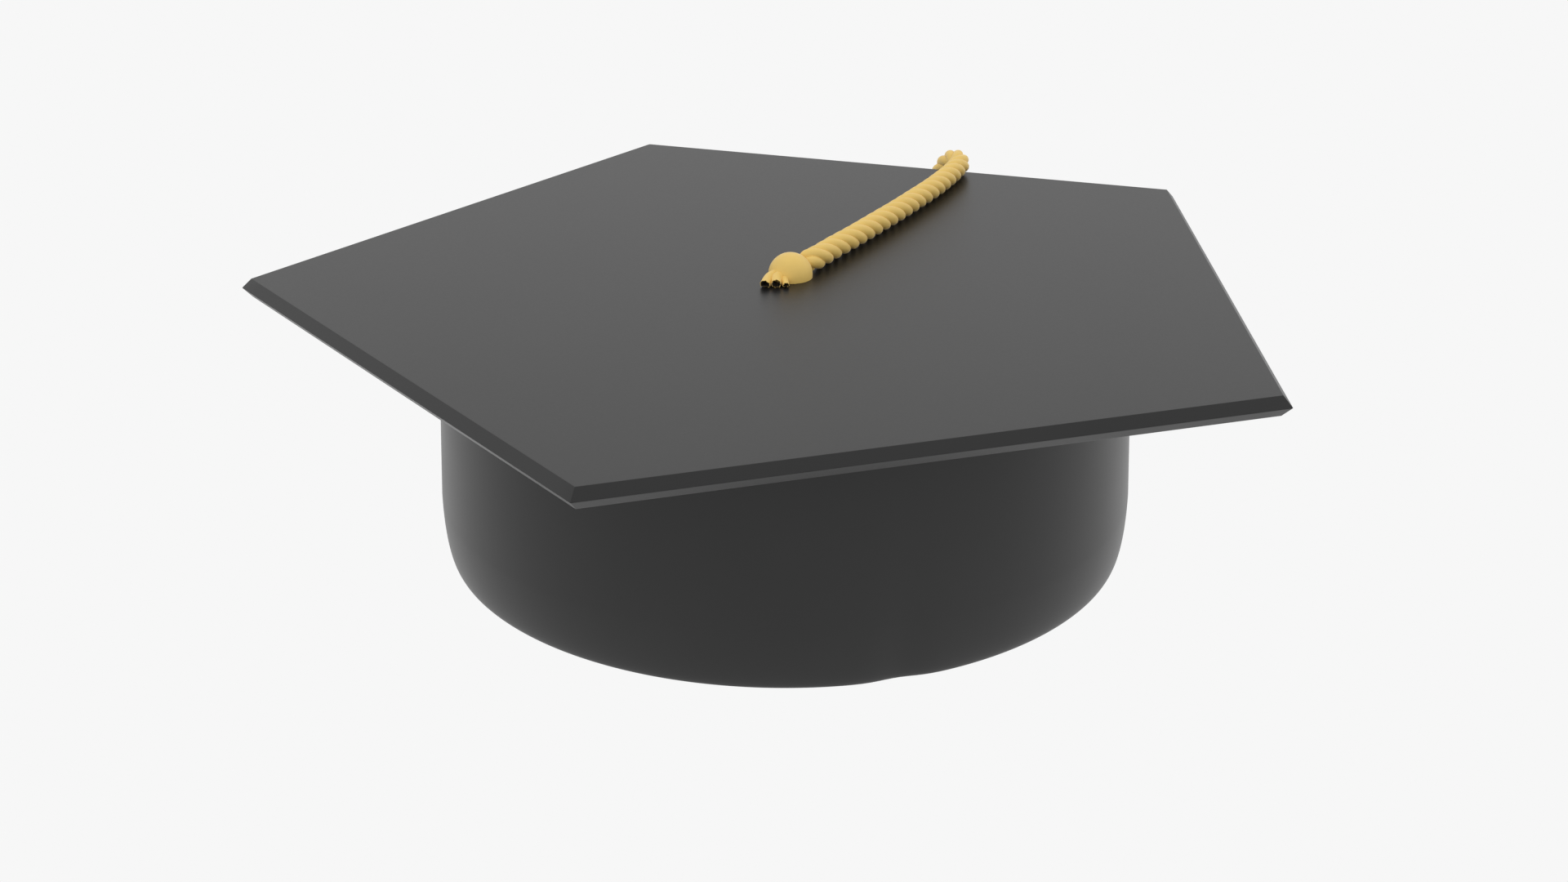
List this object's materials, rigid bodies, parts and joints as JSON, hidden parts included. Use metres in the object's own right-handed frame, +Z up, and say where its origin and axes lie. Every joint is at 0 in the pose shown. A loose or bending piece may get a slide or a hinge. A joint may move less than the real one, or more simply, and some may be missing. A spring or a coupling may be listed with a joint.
{
  "type": "graduation cap",
  "caption": "Graduation cap: a stiff cornered board on a round cloth crown, with a gold button and a twisted cord ending in a tassel that swings.",
  "frame": {"origin": "centre of the head opening, in the plane of the crown's rim, where a head holds the cap", "axes": "+Z up through the crown and the board; +Y towards the corner of the board worn in front; +X towards the wearer's right, where the tassel hangs"},
  "size_m": [0.283, 0.2692, 0.1212],
  "materials": {
    "board_cloth": "smooth satin-faced black cloth bonded to the board",
    "crown_cloth": "smooth black cloth with a soft sheen",
    "core_board": "grey pressed board",
    "buckram": "stiffened open weave",
    "lining_cloth": "satin lining",
    "sweatband_leather": "soft grained band",
    "elastic_web": "ribbed elastic webbing",
    "eyelet_brass": "satin",
    "pivot_steel": "satin",
    "gold_thread": "satin gold rayon thread"
  },
  "bodies": {
    "cap": {"board_core": "core_board", "board_top_cover": "board_cloth", "board_underside_cover": "board_cloth", "board_eyelet": "eyelet_brass", "pivot_washer": "pivot_steel", "crown_shell": "crown_cloth", "crown_stiffener": "buckram", "crown_lining": "lining_cloth", "crown_top_panel": "buckram", "crown_top_seam_tape": "lining_cloth", "crown_top_lining": "lining_cloth", "sweatband": "sweatband_leather", "back_elastic": "elastic_web", "back_seam_tape": "lining_cloth"},
    "button_and_cord": {"button_dome": "gold_thread", "button_post": "pivot_steel", "post_push_nut": "pivot_steel", "cord_loop": "gold_thread", "tail_strand_1": "gold_thread", "tail_strand_2": "gold_thread", "tail_strand_3": "gold_thread", "cord_on_board": "gold_thread"},
    "hanging_cord": {"cord_hanging": "gold_thread", "cord_end_knot": "gold_thread"},
    "tassel_head": {"tassel_head": "gold_thread"},
    "skirt": {"tassel_skirt": "gold_thread", "neck_binding": "gold_thread"}
  },
  "joints": [
    {"name": "tassel_swivel", "type": "hinge", "parent": "cap", "child": "button_and_cord", "pos_m": [0.0018, 0.0009, 0.0748], "axis": [0, 0, 1], "range_deg": [-2.5, 11]},
    {"name": "tassel_lift", "type": "hinge", "parent": "button_and_cord", "child": "hanging_cord", "pos_m": [0.08314, 0.07902, 0.08135], "axis": [0.809, -0.5878, 0], "range_deg": [0, 80]},
    {"name": "tassel_sway", "type": "hinge", "parent": "hanging_cord", "child": "tassel_head", "pos_m": [0.0832, 0.0975, 0.0508], "axis": [0.5878, 0.809, 0], "range_deg": [-20, 20]},
    {"name": "skirt_swing", "type": "hinge", "parent": "tassel_head", "child": "skirt", "pos_m": [0.0832, 0.0975, 0.0385], "axis": [0.809, -0.5878, 0], "range_deg": [-15, 25]}
  ]
}
